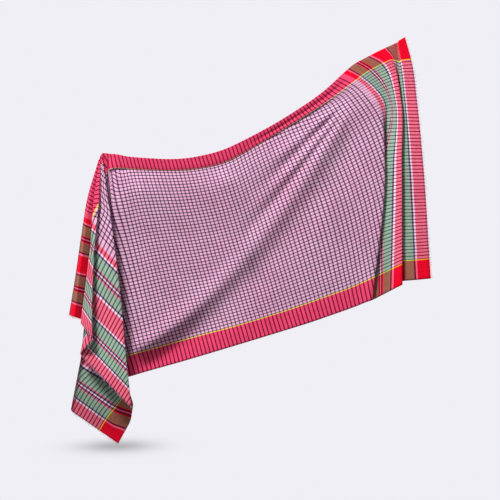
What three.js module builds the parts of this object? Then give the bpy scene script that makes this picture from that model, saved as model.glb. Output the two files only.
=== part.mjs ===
// Gamcha: a checked cotton towel from a handloom, hanging in the air by one corner and by a peak
// of its top selvedge. The cloth is one sheet. To the left of the peak it falls as a cascade of
// folds, and to the right it swags up to the corner, where the end of the cloth is gathered.
// Millimetres, +Z up, -Y towards the viewer, origin at the peak. X runs along the swag.
import * as THREE from 'three';

// Driving sizes
const CLOTH_WIDTH = 740; // selvedge to selvedge
const BORDER_WIDTH = 62; // red border along each selvedge
const CLOTH_THICKNESS = 1.5;
const LIP_DEPTH = 20; // how far the top border stands out of the swag
const LIP_TUCK = 0.012; // share of a line's drop that is hidden under the standing border

// Mesh density
const ROWS = 24; // from the top edge to the foot
const ROW_CROWDING = 1.3; // above 1, rows lie closer near the top edge
const BEND_STEPS = 4; // columns that round each fold
const SWAG_STEPS = 2;

// Bends
const MOST_ROUNDING = 0.44; // share of the distance to the next line that a bend may take
const MOST_NOSE = 0.12; // the same for half the gap inside a fold
const NOSE_LEVEL = 0.35; // level from which folds have their whole gap: above it they run out

// Levels of a line: shares of the way from the top edge to its foot
const END_LEVELS = [0, 0.084, 0.257, 0.5, 1];
const CASCADE_LEVELS = [0, 0.25, 0.5, 0.78, 1];
const SWAG_DROPS = [0, BORDER_WIDTH, 105, 150, CLOTH_WIDTH / 2, CLOTH_WIDTH];

// Gathered end, right to left: a row for each fold line, with its places at the end levels.
// crease is how far the bend reaches to each side, and nose half the gap inside a fold.
const GATHERED_END = [
  { name: 'raw end', crease: 20,
    x: [868, 886, 903, 920, 943], y: [4, 4, 4, 6, 8], z: [334, 270, 152, -20, -361] },
  { name: 'last red band', crease: 20,
    x: [850, 858, 870, 887, 904], y: [-2, 2, 8, 10, 12], z: [323, 267, 152, -20, -365] },
  { name: 'under the outer pleat', crease: 12,
    x: [848, 854, 860, 860, 862], y: [8, 12, 16, 18, 20], z: [319, 263, 152, -20, -368] },
  { name: 'groove of the outer pleat', crease: 12, nose: 4,
    x: [843, 847, 842, 831, 828], y: [6, 14, 26, 34, 38], z: [317, 266, 152, -20, -380] },
  { name: 'edge of the outer pleat', crease: 12, nose: 4,
    x: [789, 828, 857, 859, 861], y: [0, 0, -6, -10, -12], z: [292, 269, 152, -23, -378] },
  { name: 'middle red band', crease: 14,
    x: [765, 804, 840, 839, 829], y: [0, 0, 0, 2, 2], z: [279, 257, 152, -26, -395] },
  { name: 'under the inner pleat', crease: 10,
    x: [726, 763, 824, 811, 776], y: [0, 2, 12, 12, 14], z: [259, 236, 150, -29, -423] },
  { name: 'groove of the inner pleat', crease: 12, nose: 3,
    x: [709, 746, 812, 779, 704], y: [0, 2, 12, 30, 42], z: [246, 224, 147, -34, -448] },
  { name: 'edge of the inner pleat', crease: 12, nose: 3,
    x: [691, 730, 794, 811, 775], y: [0, 0, -3, -9, -12], z: [230, 211, 141, -32, -421] },
];

// Swag, right to left: a row for each weft line, straight from the top edge to the foot.
// lean is how much of its width the top border shows, and lip how far it stands out.
const SWAG = [
  { top: [624, 167], foot: [723, -443], lean: 0.6, lip: 0.3, y: [0, 0, 0] },
  { top: [509, 92], foot: [667, -463], lean: 0.55, lip: 0.8, y: [0, 0, 0] },
  { top: [423, 45], foot: [590, -490], lean: 0.65, lip: 1, y: [0, 0, 0] },
  { top: [336, 3], foot: [497, -519], lean: 0.8, lip: 1, y: [0, 2, 3] },
  { top: [221, -20], foot: [377, -556], lean: 0.7, lip: 1, y: [2, 7, 9] },
  { top: [78, -12], foot: [231, -601], lean: 0.7, lip: 0.8, y: [4, 16, 22] },
  { top: [39, -3], foot: [143, -626], lean: 0.75, lip: 0.5, y: [8, 34, 46] },
];
const SWAG_CREASE = 200; // so large that the swag is rounded all the way

// Cascade under the peak, back to front: a row for each fold line at the cascade levels
const CASCADE = [
  { name: 'end of the swag', crease: 14,
    x: [20, 20, 33, 52, 66], y: [10, 28, 46, 60, 72], z: [-2, -170, -331, -509, -648] },
  { name: 'hidden back fold', crease: 14, nose: 4,
    x: [16, -9, -29, -40, -43], y: [8, 31, 56, 78, 95], z: [-1, -164, -331, -523, -670] },
  { name: 'right fold of the low flap', crease: 14, nose: 4,
    x: [12, 12, 26, 52, 85], y: [6, 17, 27, 36, 40], z: [-1, -193, -394, -601, -722] },
  { name: 'selvedge of the low flap', crease: 14,
    x: [9, 0, 6, 40, 76], y: [5, 15, 25, 32, 36], z: [0, -204, -423, -676, -776] },
  { name: 'lowest corner', crease: 1.5,
    x: [6, -9, -14, 8, 39], y: [4, 15, 25, 34, 40], z: [0, -221, -457, -718, -842] },
  { name: 'left fold of the low flap', crease: 14, nose: 4,
    x: [3, -20, -49, -72, -98], y: [2, 10, 19, 27, 34], z: [0, -207, -423, -627, -746] },
  { name: 'inside the front fold', crease: 20,
    x: [0, 0, 0, -9, -43], y: [0, 1, 5, 9, 12], z: [0, -144, -293, -457, -575] },
  { name: 'front fold', crease: 14, nose: 4,
    x: [-3, 24, 49, 68, 83], y: [-3, -11, -19, -26, -30], z: [-2, -193, -385, -586, -729] },
  { name: 'behind the narrow fold', crease: 14, nose: 3,
    x: [-6, -17, -33, -47, -66], y: [-3, -5, -7, -9, -12], z: [-6, -155, -310, -477, -575] },
  { name: 'narrow fold', crease: 14, nose: 3,
    x: [-8, -11, -18, -23, -26], y: [-5, -20, -37, -50, -62], z: [-11, -132, -270, -417, -532] },
  { name: 'valley at the border', crease: 12,
    x: [-10, -30, -40, -50, -62], y: [-4, -8, -14, -24, -34], z: [-17, -138, -250, -377, -479] },
  { name: 'ridge of the border', crease: 12,
    x: [-13, -38, -53, -68, -79], y: [-4, -15, -26, -38, -50], z: [-22, -132, -244, -371, -469] },
  { name: 'top selvedge', crease: 8,
    x: [-15, -44, -62, -80, -95], y: [-3, -7, -12, -18, -28], z: [-29, -129, -242, -368, -463] },
];

// Diagonal ridge of the swag, with a trough under it. Its crest follows z = base + slope x + curve x².
const RIDGE = {
  base: -597, slope: 0.188, curve: 0.00113,
  height: 13, width: 40, trough: 8, troughOffset: 68, troughWidth: 48,
  fadeIn: [100, 220], fadeOut: [680, 780],
};

function smoothstep([from, to], value) {
  const share = THREE.MathUtils.clamp((value - from) / (to - from), 0, 1);
  return share * share * (3 - 2 * share);
}

// Lines as lists of points with their levels
function tableLine({ crease, nose = 0, x, y, z }, levels) {
  const points = levels.map((_, i) => new THREE.Vector3(x[i], y[i], z[i]));
  return { crease, nose, steps: BEND_STEPS, levels, points };
}

function swagLine({ top, foot, lean, lip, y }) {
  const collar = (lean * BORDER_WIDTH) / CLOTH_WIDTH;
  const tucked = collar - LIP_TUCK * lip + 0.05 * (1 - lip);
  const freed = collar + LIP_TUCK + 0.09 * (1 - lip);
  const [, , , freedDrop, waistDrop] = SWAG_DROPS;
  const waist = freed + ((1 - freed) * (waistDrop - freedDrop)) / (CLOTH_WIDTH - freedDrop);
  const shares = [0, collar, tucked, freed, waist, 1];
  const depths = [
    y[0], y[0] - LIP_DEPTH * lip, y[0] - 0.15 * LIP_DEPTH * lip, y[0] + 0.35 * LIP_DEPTH * lip, y[1], y[2],
  ];
  const points = shares.map((share, i) => new THREE.Vector3(
    top[0] + (foot[0] - top[0]) * share, depths[i], top[1] + (foot[1] - top[1]) * share));
  const levels = SWAG_DROPS.map((drop) => drop / CLOTH_WIDTH);
  return { crease: SWAG_CREASE, nose: 0, steps: SWAG_STEPS, levels, points };
}

const LINES = [
  ...GATHERED_END.map((row) => tableLine(row, END_LEVELS)),
  ...SWAG.map(swagLine),
  ...CASCADE.map((row) => tableLine(row, CASCADE_LEVELS)),
];

// Point of a line at one level, on a smooth curve through its table points
function pointAt({ levels, points }, level) {
  const last = levels.length - 1;
  const slopes = [];
  for (let i = 0; i < last; i += 1) {
    slopes.push(points[i + 1].clone().sub(points[i]).divideScalar(levels[i + 1] - levels[i]));
  }
  const tangent = (i) => {
    if (i === 0) return slopes[0];
    if (i === last) return slopes[last - 1];
    const before = levels[i] - levels[i - 1];
    const after = levels[i + 1] - levels[i];
    return slopes[i - 1].clone().lerp(slopes[i], before / (before + after));
  };
  let i = 0;
  while (i < last - 1 && level > levels[i + 1]) i += 1;
  const span = levels[i + 1] - levels[i];
  const u = (level - levels[i]) / span;
  return new THREE.Vector3()
    .addScaledVector(points[i], 2 * u ** 3 - 3 * u ** 2 + 1)
    .addScaledVector(tangent(i), (u ** 3 - 2 * u ** 2 + u) * span)
    .addScaledVector(points[i + 1], 3 * u ** 2 - 2 * u ** 3)
    .addScaledVector(tangent(i + 1), (u ** 3 - u ** 2) * span);
}

function raiseRidge(point) {
  const crest = RIDGE.base + RIDGE.slope * point.x + RIDGE.curve * point.x ** 2;
  const steepness = RIDGE.slope + 2 * RIDGE.curve * point.x;
  const above = (point.z - crest) / Math.hypot(1, steepness);
  const fade = smoothstep(RIDGE.fadeIn, point.x) * (1 - smoothstep(RIDGE.fadeOut, point.x));
  const crown = RIDGE.height * Math.exp(-((above / RIDGE.width) ** 2));
  const trough = RIDGE.trough * Math.exp(-(((above + RIDGE.troughOffset) / RIDGE.troughWidth) ** 2));
  point.y += fade * (trough - crown);
}

// Bend of a row at one line. At a fold, the side nearer the raw end passes behind the other.
function bendPoints(before, knot, after, { crease, nose, steps }, level) {
  const back = before.clone().sub(knot);
  const ahead = after.clone().sub(knot);
  const room = Math.min(back.length(), ahead.length());
  const backReach = Math.min(crease, MOST_ROUNDING * back.length());
  const aheadReach = Math.min(crease, MOST_ROUNDING * ahead.length());
  back.normalize();
  ahead.normalize();
  const turned = (1 + back.dot(ahead)) / 2;
  const gap = Math.min(nose, MOST_NOSE * room) * Math.min(1, level / NOSE_LEVEL);
  const apart = new THREE.Vector3(0, gap, 0);
  const start = knot.clone().addScaledVector(back, backReach).add(apart);
  const finish = knot.clone().addScaledVector(ahead, aheadReach).sub(apart);
  const pull = (-2 / 3) * (1 + turned);
  const bend = new THREE.CubicBezierCurve3(
    start, start.clone().addScaledVector(back, pull * backReach),
    finish.clone().addScaledVector(ahead, pull * aheadReach), finish);
  return bend.getPoints(steps);
}

// One row of the sheet: from line to line, straight between the folds and round at them
function sheetRow(level) {
  const knots = LINES.map((line) => pointAt(line, level));
  const last = knots.length - 1;
  const row = [knots[0]];
  for (let k = 1; k < last; k += 1) {
    row.push(...bendPoints(knots[k - 1], knots[k], knots[k + 1], LINES[k], level));
  }
  row.push(knots[last]);
  row.forEach(raiseRidge);
  return row;
}

function sheetGrid() {
  const grid = [];
  for (let r = 0; r < ROWS; r += 1) {
    grid.push(sheetRow((r / (ROWS - 1)) ** ROW_CROWDING));
  }
  return grid;
}

// Direction out of the cloth's front face at a grid point
function faceNormal(grid, r, c) {
  const lastRow = grid.length - 1;
  const lastColumn = grid[0].length - 1;
  const across = grid[r][Math.min(c + 1, lastColumn)].clone().sub(grid[r][Math.max(c - 1, 0)]);
  const down = grid[Math.min(r + 1, lastRow)][c].clone().sub(grid[Math.max(r - 1, 0)][c]);
  return across.cross(down).normalize();
}

// Closed sheet: the front and back faces of the grid, with a rim along the four edges
function clothGeometry() {
  const grid = sheetGrid();
  const columns = grid[0].length;
  const positions = [];
  for (const side of [1, -1]) {
    for (let r = 0; r < ROWS; r += 1) {
      for (let c = 0; c < columns; c += 1) {
        const offset = (side * CLOTH_THICKNESS) / 2;
        positions.push(...grid[r][c].clone().addScaledVector(faceNormal(grid, r, c), offset).toArray());
      }
    }
  }
  const front = (r, c) => r * columns + c;
  const back = (r, c) => ROWS * columns + front(r, c);
  const faces = [];
  for (let r = 0; r < ROWS - 1; r += 1) {
    for (let c = 0; c < columns - 1; c += 1) {
      faces.push(front(r, c), front(r, c + 1), front(r + 1, c + 1));
      faces.push(front(r, c), front(r + 1, c + 1), front(r + 1, c));
      faces.push(back(r, c), back(r + 1, c + 1), back(r, c + 1));
      faces.push(back(r, c), back(r + 1, c), back(r + 1, c + 1));
    }
  }
  const edge = [];
  for (let c = 0; c < columns - 1; c += 1) edge.push([0, c]);
  for (let r = 0; r < ROWS - 1; r += 1) edge.push([r, columns - 1]);
  for (let c = columns - 1; c > 0; c -= 1) edge.push([ROWS - 1, c]);
  for (let r = ROWS - 1; r > 0; r -= 1) edge.push([r, 0]);
  edge.forEach((here, i) => {
    const next = edge[(i + 1) % edge.length];
    faces.push(front(...next), front(...here), back(...here));
    faces.push(front(...next), back(...here), back(...next));
  });
  const geometry = new THREE.BufferGeometry();
  geometry.setAttribute('position', new THREE.Float32BufferAttribute(positions, 3));
  geometry.setIndex(faces);
  geometry.computeVertexNormals();
  return geometry;
}

const checkedCotton = new THREE.MeshStandardMaterial({ color: 0xcf8fae, roughness: 0.9, metalness: 0 });

const towel = new THREE.Mesh(clothGeometry(), checkedCotton);
towel.name = 'towel';

const gamcha = new THREE.Group();
gamcha.add(towel);

export default gamcha;
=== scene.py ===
import random

import bpy
import numpy as np
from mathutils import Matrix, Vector


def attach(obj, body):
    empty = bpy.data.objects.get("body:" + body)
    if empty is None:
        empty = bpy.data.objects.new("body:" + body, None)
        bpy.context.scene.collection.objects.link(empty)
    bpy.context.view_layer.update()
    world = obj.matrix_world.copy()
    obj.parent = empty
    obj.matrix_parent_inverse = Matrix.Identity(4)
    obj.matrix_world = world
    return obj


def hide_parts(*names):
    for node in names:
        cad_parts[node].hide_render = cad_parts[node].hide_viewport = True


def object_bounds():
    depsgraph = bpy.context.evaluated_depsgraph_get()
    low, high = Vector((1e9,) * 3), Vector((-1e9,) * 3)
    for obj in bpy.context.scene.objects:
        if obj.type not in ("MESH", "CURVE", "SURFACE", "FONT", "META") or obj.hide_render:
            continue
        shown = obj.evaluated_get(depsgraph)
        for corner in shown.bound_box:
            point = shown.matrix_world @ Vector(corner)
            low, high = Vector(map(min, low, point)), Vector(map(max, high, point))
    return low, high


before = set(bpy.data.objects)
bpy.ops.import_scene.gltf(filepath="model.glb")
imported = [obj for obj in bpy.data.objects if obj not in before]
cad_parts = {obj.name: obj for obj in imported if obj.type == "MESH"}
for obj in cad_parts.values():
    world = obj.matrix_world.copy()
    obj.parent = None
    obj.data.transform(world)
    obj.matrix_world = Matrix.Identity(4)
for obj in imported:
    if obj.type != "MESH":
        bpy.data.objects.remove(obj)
cad_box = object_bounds()


# View
# A level camera far in front of the cloth, so that the swag is seen flat on and the scale is
# nearly the same over its whole depth. MM turns the millimetres of this script into metres.
MM = 0.001
MM_PER_PIXEL = 2.875
PICTURE_SIDE = 500
PEAK_PIXEL = (103, 153)
CAMERA_DISTANCE = 6.0
SENSOR_WIDTH = 36.0
FARTHEST_SEEN = 50.0

picture_width = PICTURE_SIDE * MM_PER_PIXEL * MM
camera_data = bpy.data.cameras.new("view")
camera_data.sensor_width = SENSOR_WIDTH
camera_data.lens = SENSOR_WIDTH * CAMERA_DISTANCE / picture_width
camera_data.clip_end = FARTHEST_SEEN
camera = bpy.data.objects.new("view", camera_data)
bpy.context.scene.collection.objects.link(camera)
middle_x = (PICTURE_SIDE / 2 - PEAK_PIXEL[0]) * MM_PER_PIXEL * MM
middle_z = (PEAK_PIXEL[1] - PICTURE_SIDE / 2) * MM_PER_PIXEL * MM
camera.location = (middle_x, -CAMERA_DISTANCE, middle_z)
camera.rotation_euler = (np.pi / 2, 0, 0)
bpy.context.scene.camera = camera


# Cloth
# One handwoven cotton rectangle, held at a corner and at a peak of its top selvedge. Each row
# below is a line of the hanging cloth from the top edge to the foot: x, y and z are its places
# in the frame, along and down its places on the flat cloth, all in millimetres.
CLOTH_WIDTH = 740.0
CLOTH_LENGTH = 1585.0
BORDER_WIDTH = 62.0
CLOTH_THICKNESS = 0.6
END_LEVELS = [0, 0.084, 0.257, 0.5, 1]
CASCADE_LEVELS = [0, 0.25, 0.5, 0.78, 1]

GATHERED_END = [
    dict(name="raw end", crease=20, nose=0, along=[0, 0, 0, 0, 0],
         x=[868, 886, 903, 920, 943], y=[4, 4, 4, 6, 8], z=[334, 270, 152, -20, -361]),
    dict(name="last red band", crease=20, nose=0, along=[18, 33, 37, 37, 37],
         x=[850, 858, 870, 887, 904], y=[-2, 0, 3, 5, 7], z=[323, 267, 152, -20, -365]),
    dict(name="under the outer pleat", crease=12, nose=0, along=[34, 44, 60, 62, 80],
         x=[848, 854, 860, 860, 862], y=[5, 6, 6, 6, 7], z=[319, 263, 152, -20, -368]),
    dict(name="groove of the outer pleat", crease=12, nose=4, along=[84, 100, 108, 110, 117],
         x=[843, 847, 842, 831, 828], y=[6, 12, 20, 26, 30], z=[317, 266, 152, -20, -380]),
    dict(name="edge of the outer pleat", crease=12, nose=4, along=[158, 158, 158, 160, 153],
         x=[789, 828, 857, 859, 861], y=[0, 0, -5, -7, -7], z=[292, 269, 152, -23, -378]),
    dict(name="middle red band", crease=14, nose=0, along=[183, 183, 183, 183, 183],
         x=[765, 804, 840, 839, 829], y=[0, 0, 0, 2, 2], z=[279, 257, 152, -26, -395]),
    dict(name="under the inner pleat", crease=10, nose=0, along=[236, 236, 240, 214, 258],
         x=[726, 763, 824, 811, 776], y=[0, 2, 9, 8, 8], z=[259, 236, 150, -29, -423]),
    dict(name="groove of the inner pleat", crease=12, nose=3, along=[262, 262, 266, 275, 350],
         x=[709, 746, 812, 779, 704], y=[0, 2, 11, 24, 34], z=[246, 224, 147, -34, -448]),
    dict(name="edge of the inner pleat", crease=12, nose=3, along=[288, 288, 290, 335, 445],
         x=[691, 730, 794, 811, 775], y=[0, 0, -3, -5, -6], z=[230, 211, 141, -32, -421]),
]

SWAG = [
    dict(along=(386, 478, 500), top=(624, 167), foot=(723, -443), lean=0.6, lip=0.3, y=(0, 0, 0)),
    dict(along=(532, 562, 560), top=(509, 92), foot=(667, -463), lean=0.55, lip=0.8, y=(0, 2, 3)),
    dict(along=(636, 645, 640), top=(423, 45), foot=(590, -490), lean=0.65, lip=1, y=(0, 7, 8)),
    dict(along=(737, 739, 737), top=(336, 3), foot=(497, -519), lean=0.8, lip=1, y=(3, 14, 16)),
    dict(along=(861, 861, 861), top=(221, -20), foot=(377, -556), lean=0.7, lip=1, y=(5, 21, 23)),
    dict(along=(1014, 1014, 1014), top=(78, -12), foot=(231, -601), lean=0.7, lip=1, y=(6, 26, 28)),
    dict(along=(1056, 1080, 1105), top=(39, -3), foot=(143, -626), lean=0.75, lip=0.8, y=(8, 29, 32)),
]
SWAG_CREASE = 200
LIP_DEPTH = 5
LIP_NOSE = (64, 66.5, 69)
LIP_TUCK = 0.055
LIP_CLEAR = 0.012
LIP_NOSE_RISE = 0.001
LIP_FOOT = (105, 150)
LIP_STANDS = [-1.8, -0.3, -0.2, 0, 1.2, 0, 0, 0]
LIP_LEAST = 0.4
FLAT_TUCK, FLAT_CLEAR = 0.04, 0.09

CASCADE = [
    dict(name="end of the swag", crease=14, nose=0,
         levels=[0, 0.084, 0.13, 0.25, 0.5, 0.78, 1],
         along=[1076, 1084, 1090, 1102, 1128, 1157, 1180], down=[0, 62, 138, 260, 422, 600, 740],
         x=[20, 19, 19, 20, 33, 52, 66], y=[10, 10, 14, 24, 37, 44, 50],
         z=[-2, -44, -54, -170, -331, -509, -648]),
    dict(name="hidden back fold", crease=14, nose=4,
         along=[1081, 1141, 1200, 1267, 1320], down=[0, 185, 370, 577, 740],
         x=[16, -9, -29, -40, -43], y=[8, 30, 54, 74, 92], z=[-1, -164, -331, -523, -670]),
    dict(name="right fold of the low flap", crease=14, nose=4,
         along=[1085, 1195, 1300, 1400, 1470], down=[0, 200, 400, 620, 740],
         x=[12, 12, 26, 52, 85], y=[6, 17, 28, 37, 54], z=[-1, -193, -394, -601, -722]),
    dict(name="selvedge of the low flap", crease=14, nose=0,
         along=[1088, 1207, 1320, 1452, 1520], down=[0, 215, 430, 645, 740],
         x=[9, 0, 6, 40, 76], y=[5, 15, 26, 40, 66], z=[0, -204, -423, -676, -776]),
    dict(name="lowest corner", crease=1.5, nose=0,
         along=[1091, 1220, 1350, 1500, 1585], down=[0, 240, 480, 652, 740],
         x=[6, -9, -14, 8, 39], y=[4, 15, 25, 42, 78], z=[0, -221, -457, -718, -842]),
    dict(name="left fold of the low flap", crease=14, nose=4,
         along=[1094, 1215, 1340, 1472, 1585], down=[0, 200, 400, 548, 586],
         x=[3, -20, -49, -72, -98], y=[2, 10, 19, 33, 62], z=[0, -207, -423, -627, -746]),
    dict(name="inside the front fold", crease=20, nose=0,
         along=[1097, 1219, 1341, 1478, 1585], down=[0, 120, 240, 374, 480],
         x=[0, -3, -12, -34, -60], y=[0, 1, 5, 9, 12], z=[0, -144, -293, -450, -568]),
    dict(name="front fold", crease=14, nose=4,
         levels=[0, 0.05, 0.25, 0.5, 0.78, 1],
         along=[1100, 1124, 1221, 1342, 1479, 1585], down=[0, 82, 132, 215, 320, 405],
         x=[-3, 2, 24, 49, 68, 83], y=[-3, -5, -10, -16, -21, -25],
         z=[-2, -39, -193, -385, -586, -729]),
    dict(name="behind the narrow fold", crease=14, nose=3,
         levels=[0, 0.05, 0.25, 0.5, 0.78, 1],
         along=[1105, 1129, 1225, 1345, 1479, 1585], down=[0, 64, 88, 128, 172, 205],
         x=[-6, -8, -17, -33, -47, -66], y=[-3, -3, -5, -7, -9, -12],
         z=[-6, -36, -155, -310, -477, -575]),
    dict(name="narrow fold", crease=14, nose=3,
         along=[1111, 1229, 1348, 1481, 1585], down=[0, 56, 96, 132, 158],
         x=[-8, -10, -21, -26, -25], y=[-5, -16, -30, -41, -52], z=[-11, -132, -270, -417, -532]),
    dict(name="left edge of the narrow fold", crease=8, nose=2,
         along=[1115, 1232, 1350, 1482, 1585], down=[0, 48, 74, 78, 80],
         x=[-9, -27, -36, -50, -63], y=[-5, -8, -14, -22, -32], z=[-15, -137, -253, -381, -485]),
    dict(name="valley at the border", crease=8, nose=0,
         along=[1117, 1234, 1351, 1482, 1585], down=[0, 40, 62, 64, 64],
         x=[-10, -20, -26, -38, -50], y=[-3, 0, 2, -2, -8], z=[-16, -137, -251, -378, -481]),
    dict(name="ridge of the border", crease=12, nose=0,
         along=[1123, 1238, 1354, 1483, 1585], down=[0, 20, 32, 32, 32],
         x=[-13, -38, -53, -68, -79], y=[-4, -16, -29, -42, -52], z=[-22, -132, -244, -371, -469]),
    dict(name="top selvedge", crease=8, nose=0,
         along=[1129, 1243, 1357, 1485, 1585], down=[0, 0, 0, 0, 0],
         x=[-15, -44, -62, -80, -95], y=[-3, -7, -12, -18, -28], z=[-29, -129, -242, -368, -463]),
]

EVEN_ROWS = 128
NOSE_ROWS = (60.5, 72.5, 7)
ROW_CROWDING = 1.15
FOLD_STEPS = 6
FOLD_STRAIGHT = 3
SWAG_STEPS = 12
SWAG_STRAIGHT = 2
MOST_ROUNDING = 0.44
MOST_NOSE = 0.12
NOSE_LEVEL = 0.35


def table_line(row, shared_levels):
    levels = row.get("levels", shared_levels)
    down = row.get("down", [level * CLOTH_WIDTH for level in levels])
    points = np.column_stack([row["x"], row["y"], row["z"], row["along"], down])
    return dict(levels=np.array(levels, float), points=points.astype(float), crease=row["crease"],
                nose=row["nose"], steps=FOLD_STEPS, straight=FOLD_STRAIGHT)


def swag_line(row):
    lip, depth = row["lip"], row["y"]
    drops = np.array([0, *LIP_NOSE, *LIP_FOOT, CLOTH_WIDTH / 2, CLOTH_WIDTH])
    collar = row["lean"] * BORDER_WIDTH / CLOTH_WIDTH
    tucked = collar - LIP_TUCK * lip + FLAT_TUCK * (1 - lip)
    freed = collar + LIP_CLEAR + FLAT_CLEAR * (1 - lip)
    waist = freed + (1 - freed) * (drops[6] - drops[5]) / (CLOTH_WIDTH - drops[5])
    shares = np.array([0, collar, collar + LIP_NOSE_RISE, collar, tucked, freed, waist, 1])
    stands = np.array(LIP_STANDS) * LIP_DEPTH * (LIP_LEAST + (1 - LIP_LEAST) * lip)
    y = np.array([depth[0]] * 6 + [depth[1], depth[2]]) + stands
    x = row["top"][0] + (row["foot"][0] - row["top"][0]) * shares
    z = row["top"][1] + (row["foot"][1] - row["top"][1]) * shares
    top_along, half_along, foot_along = row["along"]
    level = drops / CLOTH_WIDTH
    bow = 4 * level * (1 - level) * (half_along - (top_along + foot_along) / 2)
    along = top_along + (foot_along - top_along) * level + bow
    return dict(levels=level, points=np.column_stack([x, y, z, along, drops]),
                crease=SWAG_CREASE, nose=0, steps=SWAG_STEPS, straight=SWAG_STRAIGHT)


def smooth_line(line, rows):
    levels, points = line["levels"], line["points"]
    spans = np.diff(levels)[:, None]
    slopes = np.diff(points, axis=0) / spans
    tangents = np.empty_like(points)
    tangents[0], tangents[-1] = slopes[0], slopes[-1]
    for i in range(1, len(levels) - 1):
        tangents[i] = (slopes[i - 1] * spans[i] + slopes[i] * spans[i - 1]) / (spans[i] + spans[i - 1])
    i = np.clip(np.searchsorted(levels, rows, side="right") - 1, 0, len(levels) - 2)
    u = (rows[:, None] - levels[i][:, None]) / spans[i]
    return ((2 * u**3 - 3 * u**2 + 1) * points[i] + (u**3 - 2 * u**2 + u) * spans[i] * tangents[i]
            + (3 * u**2 - 2 * u**3) * points[i + 1] + (u**3 - u**2) * spans[i] * tangents[i + 1])


def bend_columns(before, knot, after, line, rows):
    back, ahead = before - knot, after - knot
    back_length = np.linalg.norm(back[:, :3], axis=1, keepdims=True)
    ahead_length = np.linalg.norm(ahead[:, :3], axis=1, keepdims=True)
    back, ahead = back / back_length, ahead / ahead_length
    back_reach = np.minimum(line["crease"], MOST_ROUNDING * back_length)
    ahead_reach = np.minimum(line["crease"], MOST_ROUNDING * ahead_length)
    turned = (1 + np.sum(back[:, :3] * ahead[:, :3], axis=1, keepdims=True)) / 2
    room = np.minimum(back_length, ahead_length)
    gap = np.minimum(line["nose"], MOST_NOSE * room) * np.minimum(1, rows[:, None] / NOSE_LEVEL)
    apart = gap * np.array([0, 1, 0, 0, 0])
    start = knot + back * back_reach + apart
    finish = knot + ahead * ahead_reach - apart
    pull = -(1 + turned) * 2 / 3
    start_pull = start + back * back_reach * pull
    finish_pull = finish + ahead * ahead_reach * pull
    return [(1 - u)**3 * start + 3 * (1 - u)**2 * u * start_pull + 3 * (1 - u) * u**2 * finish_pull
            + u**3 * finish for u in np.linspace(0, 1, line["steps"] + 1)]


even_rows = np.linspace(0, 1, EVEN_ROWS) ** ROW_CROWDING
nose_rows = np.linspace(*NOSE_ROWS) / CLOTH_WIDTH
rows = np.unique(np.concatenate([even_rows, nose_rows]))
lines = [table_line(row, END_LEVELS) for row in GATHERED_END]
lines += [swag_line(row) for row in SWAG]
lines += [table_line(row, CASCADE_LEVELS) for row in CASCADE]
knots = [smooth_line(line, rows) for line in lines]
columns = [knots[0]]
for k in range(1, len(lines) - 1):
    bend = bend_columns(knots[k - 1], knots[k], knots[k + 1], lines[k], rows)
    count = lines[k]["straight"]
    columns += [columns[-1] + (bend[0] - columns[-1]) * q / count for q in range(1, count)]
    columns += bend
columns.append(knots[-1])
sheet = np.array(columns)
along, down = sheet[:, :, 3].copy(), sheet[:, :, 4].copy()


def smoothstep(low, high, value):
    share = np.clip((value - low) / (high - low), 0, 1)
    return share * share * (3 - 2 * share)


# Diagonal ridge of the swag: its upper side is lit and its lower side falls back to the foot
RIDGE_BASE, RIDGE_SLOPE, RIDGE_CURVE = -605, 0.34, 0.00098
RIDGE_HEIGHT, RIDGE_WIDTH, RIDGE_SHARP_WIDTH = 10, 26, 18
TROUGH_DEPTH, TROUGH_OFFSET, TROUGH_WIDTH = 6, 58, 40
FALL_BACK, FALL_LENGTH = 24, 62
SWAG_START, SWAG_END = (300, 420), (1110, 1180)
RIDGE_FOOT, RIDGE_END = (160, 440), (690, 770)
x, z = sheet[:, :, 0].copy(), sheet[:, :, 2].copy()
steepness = RIDGE_SLOPE + 2 * RIDGE_CURVE * x
above = (z - RIDGE_BASE - RIDGE_SLOPE * x - RIDGE_CURVE * x**2) / np.hypot(1, steepness)
in_swag = (1 - smoothstep(*SWAG_END, along)) * smoothstep(*SWAG_START, along)
fade = in_swag * (1 - smoothstep(*RIDGE_END, x))
near_foot = 1 - smoothstep(*RIDGE_FOOT, x)
lower_width = RIDGE_WIDTH + (RIDGE_SHARP_WIDTH - RIDGE_WIDTH) * near_foot
crown = RIDGE_HEIGHT * np.exp(-(above / np.where(above > 0, RIDGE_WIDTH, lower_width))**2)
trough = TROUGH_DEPTH * np.exp(-((above + TROUGH_OFFSET) / TROUGH_WIDTH)**2)
trough += FALL_BACK * near_foot * smoothstep(0, FALL_LENGTH, -above)
sheet[:, :, 1] += fade * (trough - crown)

# Lesser folds that fan out above the ridge from the gathered corner: place, rise, width, reach
FAN_TIP = (745, 195)
FAN_FOLDS = [
    (0.09, -6, 0.035, 640), (0.16, 5, 0.035, 520),
    (0.24, -7, 0.045, 460), (0.34, 5, 0.05, 400),
]
FAN_CLEAR = (20, 160)
FAN_HOLD = 0.6
from_tip = np.hypot(x - FAN_TIP[0], z - FAN_TIP[1])
fan_angle = above / np.maximum(from_tip, 1)
for fold_place, rise, width, reach in FAN_FOLDS:
    fade_out = 1 - smoothstep(FAN_HOLD * reach, reach, from_tip)
    length_fade = smoothstep(*FAN_CLEAR, from_tip) * fade_out
    sheet[:, :, 1] -= fade * rise * length_fade * np.exp(-((fan_angle - fold_place) / width)**2)

# Creases from the cloth's packing, each a low ridge: place along the cloth and rise
PACKING_CREASES = [(505, 10), (752, 16), (1010, 11)]
PACKING_REACH = 32
PACKING_TOP, PACKING_FOOT = (150, 220), (400, 560)
packed = in_swag * smoothstep(*PACKING_TOP, down) * (1 - smoothstep(*PACKING_FOOT, down))
for crease_place, rise in PACKING_CREASES:
    sheet[:, :, 1] -= packed * rise * np.exp(-np.abs(along - crease_place) / PACKING_REACH)

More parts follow.
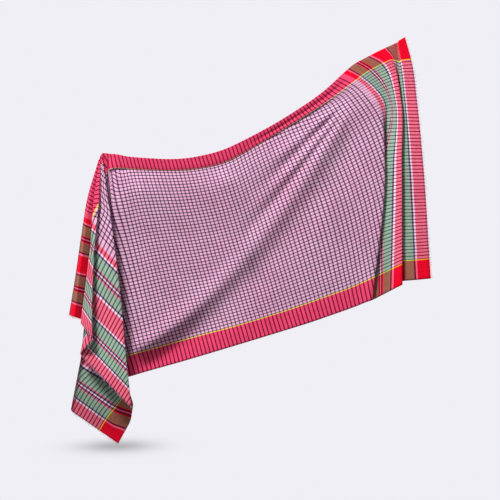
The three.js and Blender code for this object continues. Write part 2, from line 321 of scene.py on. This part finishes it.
# A crease along the top border beside the gathered corner
BORDER_CREASE_DOWN, BORDER_CREASE_DEPTH, BORDER_CREASE_WIDTH = 34, 4, 9
CORNER_START, CORNER_END = (300, 360), (560, 680)
near_corner = smoothstep(*CORNER_START, along) * (1 - smoothstep(*CORNER_END, along))
border_crease = np.exp(-((down - BORDER_CREASE_DOWN) / BORDER_CREASE_WIDTH)**2)
sheet[:, :, 1] += BORDER_CREASE_DEPTH * border_crease * near_corner

vertices = sheet[:, :, :3].reshape(-1, 3) * MM
across = len(sheet)
corner = np.arange(across * len(rows)).reshape(across, len(rows))
quads = [corner[:-1, :-1], corner[1:, :-1], corner[1:, 1:], corner[:-1, 1:]]
faces = np.stack(quads, axis=-1).reshape(-1, 4)
cloth_mesh = bpy.data.meshes.new("checked_cloth")
cloth_mesh.from_pydata(vertices.tolist(), [], faces.tolist())
flat_place = np.stack([along / CLOTH_LENGTH, down / CLOTH_WIDTH], axis=-1).reshape(-1, 2)
cloth_uv = cloth_mesh.uv_layers.new(name="flat_cloth")
loop_vertices = np.empty(len(cloth_mesh.loops), int)
cloth_mesh.loops.foreach_get("vertex_index", loop_vertices)
cloth_uv.data.foreach_set("uv", flat_place[loop_vertices].ravel())
cloth_mesh.polygons.foreach_set("use_smooth", np.ones(len(cloth_mesh.polygons), bool))
cloth = bpy.data.objects.new("checked_cloth", cloth_mesh)
bpy.context.scene.collection.objects.link(cloth)
thickness = cloth.modifiers.new("cloth thickness", "SOLIDIFY")
thickness.thickness = CLOTH_THICKNESS * MM
thickness.offset = 0


class Thread:
    """A shader socket that can stand in a Python expression."""

    def __init__(self, tree, socket):
        self.tree = tree
        self.socket = socket

    def node(self, kind, settings, inputs, output=0):
        made = self.tree.nodes.new(kind)
        for name, value in settings.items():
            if name == "stops":
                self.set_stops(made.color_ramp, value)
            else:
                setattr(made, name, value)
        for key, value in inputs.items():
            if isinstance(value, Thread):
                self.tree.links.new(value.socket, made.inputs[key])
            else:
                made.inputs[key].default_value = value
        return Thread(self.tree, made.outputs[output])

    def set_stops(self, ramp, stops):
        ramp.interpolation = "CONSTANT"
        for place, colour in stops[1:]:
            ramp.elements.new(place).color = (*colour, 1)
        ramp.elements[0].position = stops[0][0]
        ramp.elements[0].color = (*stops[0][1], 1)
        ramp.elements[-1].position = stops[-1][0]
        ramp.elements[-1].color = (*stops[-1][1], 1)

    def math(self, operation, first, second=0.0):
        return self.node("ShaderNodeMath", {"operation": operation}, {0: first, 1: second})

    def __add__(self, other):
        return self.math("ADD", self, other)

    def __radd__(self, other):
        return self.math("ADD", other, self)

    def __sub__(self, other):
        return self.math("SUBTRACT", self, other)

    def __rsub__(self, other):
        return self.math("SUBTRACT", other, self)

    def __mul__(self, other):
        return self.math("MULTIPLY", self, other)

    def __rmul__(self, other):
        return self.math("MULTIPLY", other, self)

    def __truediv__(self, other):
        return self.math("DIVIDE", self, other)


def step_down(value, edge, blur):
    settings = {"interpolation_type": "SMOOTHSTEP"}
    limits = {"From Min": edge - blur, "From Max": edge + blur, "To Min": 1.0, "To Max": 0.0}
    return value.node("ShaderNodeMapRange", settings, {"Value": value, **limits})


def line_mask(place, first, pitch, width, blur):
    turns = (place - first) / pitch + 0.5
    away = turns.math("ABSOLUTE", turns.math("FRACT", turns) - 0.5) * pitch
    return step_down(away, width / 2, blur)


def mix_colour(factor, first, second, blend="MIX"):
    source = next(part for part in (factor, first, second) if isinstance(part, Thread))
    settings = {"data_type": "RGBA", "blend_type": blend}
    first = first if isinstance(first, Thread) else (*first, 1)
    second = second if isinstance(second, Thread) else (*second, 1)
    return source.node("ShaderNodeMix", settings, {0: factor, 6: first, 7: second}, 2)


# Yarns: colours of the dyed cotton, and their order across and along the cloth
RED = (0.75, 0.0005, 0.02)
PALE = (0.72, 0.385, 0.53)
NAVY = (0.012, 0.005, 0.026)
WHITE = (0.92, 0.86, 0.93)
GREEN = (0.05, 0.39, 0.15)
YELLOW = (0.86, 0.70, 0.02)
YELLOW_LINE = 2.6
WARP_FIRST, WARP_PITCH, WARP_LINE = 68.0, 10.3, 3.5
WEFT_FIRST, WEFT_PITCH, WEFT_LINE = 296.0, 11.8, 3.7
FIELD_START = 288.0
PLAIN_FIELD = 300.0
END_BANDS = [
    (0, RED), (34, WHITE), (39, NAVY), (44, GREEN),
    (72.6, RED), (75.7, NAVY), (79.9, WHITE), (84.1, NAVY), (88.3, RED), (91.4, GREEN),
    (120, NAVY), (125, WHITE), (130, RED), (178, WHITE), (183, NAVY), (188, GREEN),
    (216.6, RED), (219.7, NAVY), (223.9, WHITE), (228.1, NAVY), (232.3, RED), (235.4, GREEN),
    (264, NAVY), (269, WHITE), (274, RED), (FIELD_START, PALE),
]
BAND_RAMP_LENGTH = 300.0
EDGE_BLUR, LINE_BLUR, FIELD_BLUR = 0.4, 0.5, 1.0


def yellow_mask(down_cloth):
    from_edge = down_cloth.math("MINIMUM", down_cloth, CLOTH_WIDTH - down_cloth)
    from_line = from_edge.math("ABSOLUTE", from_edge - BORDER_WIDTH)
    return step_down(from_line, YELLOW_LINE / 2, EDGE_BLUR)


def border_mask(down_cloth):
    from_edge = down_cloth.math("MINIMUM", down_cloth, CLOTH_WIDTH - down_cloth)
    return step_down(from_edge, BORDER_WIDTH, EDGE_BLUR)


def warp_colour(down_cloth):
    lines_in_field = line_mask(down_cloth, WARP_FIRST, WARP_PITCH, WARP_LINE, LINE_BLUR)
    field = mix_colour(lines_in_field, PALE, NAVY)
    bordered = mix_colour(border_mask(down_cloth), field, RED)
    return mix_colour(yellow_mask(down_cloth), bordered, YELLOW)


def weft_colour(along_cloth):
    from_end = along_cloth.math("MINIMUM", along_cloth, CLOTH_LENGTH - along_cloth)
    stops = [(place / BAND_RAMP_LENGTH, colour) for place, colour in END_BANDS]
    bands = from_end.node("ShaderNodeValToRGB", {"stops": stops}, {0: from_end / BAND_RAMP_LENGTH})
    checked = 1 - step_down(from_end, PLAIN_FIELD, FIELD_BLUR)
    lines_in_field = line_mask(along_cloth, WEFT_FIRST, WEFT_PITCH, WEFT_LINE, LINE_BLUR)
    return mix_colour(lines_in_field * checked, bands, NAVY)


# Weave: a plain weave that shows warp and weft by turns, with slubs, uneven beating and uneven dye
# Each noise is its size along, its size down, its detail and its seed, with sizes in millimetres
YARN_PITCH = 0.8
UNEVEN = 1.6
WANDER_ALONG = (90, 40, 2.0, 3.1)
WANDER_DOWN = (120, 90, 2.0, 8.4)
WARP_SLUB = (60.0, 2.4, 2.0, 1.7)
WEFT_SLUB = (2.4, 60.0, 2.0, 5.2)
SLUB_STRENGTH = 0.5
DYE_PATCHES = (110.0, 110.0, 3.0, 9.6)
DYE_SHIFT = (0.1, 0.45, 0.32)
OVER_UNDER_SHOWN = 0.3
YELLOW_OVER = 0.35
LAYERED, LAYERED_RED, LAYERED_GREEN, LAYERED_GREEN_BORDER = 0.75, 0.5, 0.4, 0.12
RED_EDGE, GREEN_EDGE, COLOUR_BLUR = 0.5, 0.2, 0.05
CLOTH_ROUGHNESS, CLOTH_SHEEN, CLOTH_SPECULAR = 0.92, 0.02, 0.05
WEAVE_RELIEF, SLUB_RELIEF = 0.5, 1.5
BUMP_STRENGTH, BUMP_DEPTH = 0.35, 0.0004

weave = bpy.data.materials.new("checked_cotton_weave")
weave.use_nodes = True
tree = weave.node_tree
shader = tree.nodes["Principled BSDF"]
start = Thread(tree, shader.outputs[0])
place = start.node("ShaderNodeUVMap", {"uv_map": "flat_cloth"}, {})
flat_along = start.node("ShaderNodeSeparateXYZ", {}, {0: place}, 0) * CLOTH_LENGTH
flat_down = start.node("ShaderNodeSeparateXYZ", {}, {0: place}, 1) * CLOTH_WIDTH


def cloth_noise(along_size, down_size, detail, seed):
    spot = {0: flat_along / along_size, 1: flat_down / down_size, 2: seed}
    vector = start.node("ShaderNodeCombineXYZ", {}, spot)
    return start.node("ShaderNodeTexNoise", {}, {"Vector": vector, "Scale": 1.0, "Detail": detail})


wander_along = flat_along + (cloth_noise(*WANDER_ALONG) - 0.5) * UNEVEN
wander_down = flat_down + (cloth_noise(*WANDER_DOWN) - 0.5) * UNEVEN
warp = warp_colour(wander_down)
weft = weft_colour(wander_along)
yarn_turn = 2 * np.pi / (2 * YARN_PITCH)
over_under = start.math("SINE", flat_along * yarn_turn) * start.math("SINE", flat_down * yarn_turn)
side_by_side = mix_colour(0.5 + over_under * OVER_UNDER_SHOWN, warp, weft)
layered = mix_colour(1.0, warp, weft, "MULTIPLY")
layered = start.node("ShaderNodeGamma", {}, {"Color": layered, "Gamma": 0.5})
weft_red = start.node("ShaderNodeSeparateColor", {}, {0: weft}, 0)
weft_green = start.node("ShaderNodeSeparateColor", {}, {0: weft}, 1)
red_weft = 1 - step_down(weft_red - weft_green, RED_EDGE, COLOUR_BLUR)
green_weft = 1 - step_down(weft_green - weft_red, GREEN_EDGE, COLOUR_BLUR)
green_share = LAYERED_GREEN - border_mask(wander_down) * LAYERED_GREEN_BORDER
layering = LAYERED - red_weft * LAYERED_RED - green_weft * green_share
woven = mix_colour(layering, side_by_side, layered)
woven = mix_colour(yellow_mask(wander_down) * YELLOW_OVER, woven, YELLOW)

warp_slub = cloth_noise(*WARP_SLUB)
weft_slub = cloth_noise(*WEFT_SLUB)
slub = (warp_slub + weft_slub - 1.0) * SLUB_STRENGTH
dye = cloth_noise(*DYE_PATCHES) - 0.5
tint_parts = {channel: 1.0 + slub + dye * shift for channel, shift in enumerate(DYE_SHIFT)}
tint = start.node("ShaderNodeCombineColor", {}, tint_parts)
woven = mix_colour(1.0, woven, tint, "MULTIPLY")
shader.inputs["Roughness"].default_value = CLOTH_ROUGHNESS
shader.inputs["Sheen Weight"].default_value = CLOTH_SHEEN
shader.inputs["Specular IOR Level"].default_value = CLOTH_SPECULAR
tree.links.new(woven.socket, shader.inputs["Base Color"])
relief = over_under * WEAVE_RELIEF + slub * SLUB_RELIEF
bump_inputs = {"Strength": BUMP_STRENGTH, "Distance": BUMP_DEPTH, "Height": relief}
bump = start.node("ShaderNodeBump", {}, bump_inputs)
tree.links.new(bump.socket, shader.inputs["Normal"])
cloth_mesh.materials.append(weave)

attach(cloth, "root")
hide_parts("towel")


# Raw ends
# Past the last weft the bare warp yarns stand out a few millimetres, uneven and a little frayed.
# They are the cloth's own red, yellow, navy and pale yarns, cut and left without a hem.
STRAND_PITCH = 2.6
STRAND_LENGTH = (3.5, 7.5)
STRAND_RADIUS = 0.6
STRAND_RINGS = 4
STRAND_SIDES = 3
STRAND_SWAY = 0.35
STRAND_FIRST = 1.0
STRAND_SUNK = 1.0
STRAND_TAPER = 0.5
STRAND_SIDEWAYS = (0.3, 1, 0.2)
STRAND_SEED = 11
YARN_ROUGHNESS = 0.95
HIDDEN_STRETCH = (415, 580)
END_NEARNESS = 0.5
random.seed(STRAND_SEED)

right_end = sheet[0]
right_out = sheet[0, :, :3] - sheet[1, :, :3]
first_left = max(i for i in range(across) if along[i, -1] < CLOTH_LENGTH - END_NEARNESS) + 1
left_end = sheet[first_left:, -1][::-1]
left_out = (sheet[first_left:, -1, :3] - sheet[first_left:, -2, :3])[::-1]
strand_vertices = []
strand_faces = []
strand_down = []
for edge, out in ((right_end, right_out), (left_end, left_out)):
    places = edge[:, 4]
    for down_place in np.arange(STRAND_FIRST, CLOTH_WIDTH, STRAND_PITCH):
        if edge is left_end and HIDDEN_STRETCH[0] < down_place < HIDDEN_STRETCH[1]:
            continue
        root = Vector([np.interp(down_place, places, edge[:, i]) for i in range(3)])
        way = Vector([np.interp(down_place, places, out[:, i]) for i in range(3)]).normalized()
        sway = Vector([random.uniform(-STRAND_SWAY, STRAND_SWAY) for i in range(3)])
        length = random.uniform(*STRAND_LENGTH)
        side = way.cross(Vector(STRAND_SIDEWAYS)).normalized()
        other = way.cross(side)
        first = len(strand_vertices)
        for ring in range(STRAND_RINGS):
            share = ring / (STRAND_RINGS - 1)
            middle = root + (way * share + sway * share**2) * length - way * STRAND_SUNK
            for turn in range(STRAND_SIDES):
                angle = 2 * np.pi * turn / STRAND_SIDES
                spoke = side * np.cos(angle) + other * np.sin(angle)
                radius = STRAND_RADIUS * (1 - STRAND_TAPER * share)
                strand_vertices.append((middle + spoke * radius) * MM)
                strand_down.append(down_place)
        for ring in range(STRAND_RINGS - 1):
            for turn in range(STRAND_SIDES):
                low = first + ring * STRAND_SIDES
                high = low + STRAND_SIDES
                after = (turn + 1) % STRAND_SIDES
                strand_faces.append((low + turn, low + after, high + after, high + turn))
        last = first + (STRAND_RINGS - 1) * STRAND_SIDES
        strand_faces.append(tuple(range(first + STRAND_SIDES - 1, first - 1, -1)))
        strand_faces.append(tuple(range(last, last + STRAND_SIDES)))
ends_mesh = bpy.data.meshes.new("raw_ends")
ends_mesh.from_pydata([tuple(v) for v in strand_vertices], [], strand_faces)
ends_uv = ends_mesh.uv_layers.new(name="flat_cloth")
for loop in ends_mesh.loops:
    ends_uv.data[loop.index].uv = (0.0, strand_down[loop.vertex_index] / CLOTH_WIDTH)
raw_ends = bpy.data.objects.new("raw_ends", ends_mesh)
bpy.context.scene.collection.objects.link(raw_ends)

yarn = bpy.data.materials.new("bare_warp_yarn")
yarn.use_nodes = True
tree = yarn.node_tree
shader = tree.nodes["Principled BSDF"]
start = Thread(tree, shader.outputs[0])
place = start.node("ShaderNodeUVMap", {"uv_map": "flat_cloth"}, {})
yarn_down = start.node("ShaderNodeSeparateXYZ", {}, {0: place}, 1) * CLOTH_WIDTH
tree.links.new(warp_colour(yarn_down).socket, shader.inputs["Base Color"])
shader.inputs["Roughness"].default_value = YARN_ROUGHNESS
ends_mesh.materials.append(yarn)

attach(raw_ends, "root")


# Studio
# A pale seamless floor that runs into an even pale background, with a soft shadow painted into
# the paper under the lowest corner. A broad soft light comes from the upper left, another from
# behind the cloth, and weak even light from all round.
FLOOR_GAP = 0.012
FLOOR_HALF_SIDE = 60.0
PAPER = (0.868, 0.860, 0.910)
SHADE_MIDDLE = (0.032, 0.12)
SHADE_REACH = (0.11, 0.2)
SHADE_DARKEST = 0.47
EVEN_LIGHT = (0.95, 0.95, 1.0)
EVEN_STRENGTH = 0.32
SOFTBOX_AIM = (0.4, 0.0, -0.25)

floor_height = cad_box[0][2] - FLOOR_GAP
floor_corners = [(-1, -1), (1, -1), (1, 1), (-1, 1)]
floor_vertices = [(side * FLOOR_HALF_SIDE, depth * FLOOR_HALF_SIDE, floor_height)
                  for side, depth in floor_corners]
floor_mesh = bpy.data.meshes.new("paper_floor")
floor_mesh.from_pydata(floor_vertices, [], [(0, 1, 2, 3)])
floor = bpy.data.objects.new("paper_floor", floor_mesh)
bpy.context.scene.collection.objects.link(floor)
paper = bpy.data.materials.new("pale_paper")
paper.use_nodes = True
shader = paper.node_tree.nodes["Principled BSDF"]
shader.inputs["Base Color"].default_value = (0, 0, 0, 1)
shader.inputs["Roughness"].default_value = 1.0
shader.inputs["Specular IOR Level"].default_value = 0.0
start = Thread(paper.node_tree, shader.outputs[0])
# Painted shadow: the paper's glow is darkened in a soft ellipse under the lowest corner, standing in
# for the cloth's cast shadow.
paper_place = start.node("ShaderNodeTexCoord", {}, {}, "Object")
paper_x = start.node("ShaderNodeSeparateXYZ", {}, {0: paper_place}, 0)
paper_y = start.node("ShaderNodeSeparateXYZ", {}, {0: paper_place}, 1)
aside = (paper_x - SHADE_MIDDLE[0]) / SHADE_REACH[0]
behind = (paper_y - SHADE_MIDDLE[1]) / SHADE_REACH[1]
shade = start.math("EXPONENT", 0 - aside * aside - behind * behind) * SHADE_DARKEST
paper_with_painted_shadow = mix_colour(shade, PAPER, (0, 0, 0))
paper.node_tree.links.new(paper_with_painted_shadow.socket, shader.inputs["Emission Color"])
shader.inputs["Emission Strength"].default_value = 1.0
floor_mesh.materials.append(paper)
floor.visible_diffuse = False

world = bpy.data.worlds.new("even light")
world.use_nodes = True
tree = world.node_tree
even = tree.nodes["Background"]
even.inputs["Color"].default_value = (*EVEN_LIGHT, 1)
even.inputs["Strength"].default_value = EVEN_STRENGTH
start = Thread(tree, even.outputs[0])
backdrop = start.node("ShaderNodeBackground", {}, {"Color": (*PAPER, 1), "Strength": 1.0})
seen = start.node("ShaderNodeLightPath", {}, {})
around = start.node("ShaderNodeMixShader", {}, {0: seen, 1: start, 2: backdrop})
tree.links.new(around.socket, tree.nodes["World Output"].inputs["Surface"])
bpy.context.scene.world = world


def softbox(name, size, energy, location, lit):
    lamp_data = bpy.data.lights.new(name, "AREA")
    lamp_data.shape = "DISK"
    lamp_data.size = size
    lamp_data.energy = energy
    lamp = bpy.data.objects.new(name, lamp_data)
    lamp.location = location
    aim = Vector(SOFTBOX_AIM) - Vector(lamp.location)
    lamp.rotation_euler = aim.to_track_quat("-Z", "Y").to_euler()
    bpy.context.scene.collection.objects.link(lamp)
    group = bpy.data.collections.new(name + " lights")
    for piece in lit:
        group.objects.link(piece)
    lamp.light_linking.receiver_collection = group


softbox("left softbox", size=0.9, energy=290, location=(-1.06, -2.64, 2.96), lit=(cloth, raw_ends))
softbox("back softbox", size=1.5, energy=170, location=(1.6, 3.4, 2.0), lit=(cloth, raw_ends))

bpy.context.scene.view_settings.view_transform = "Standard"
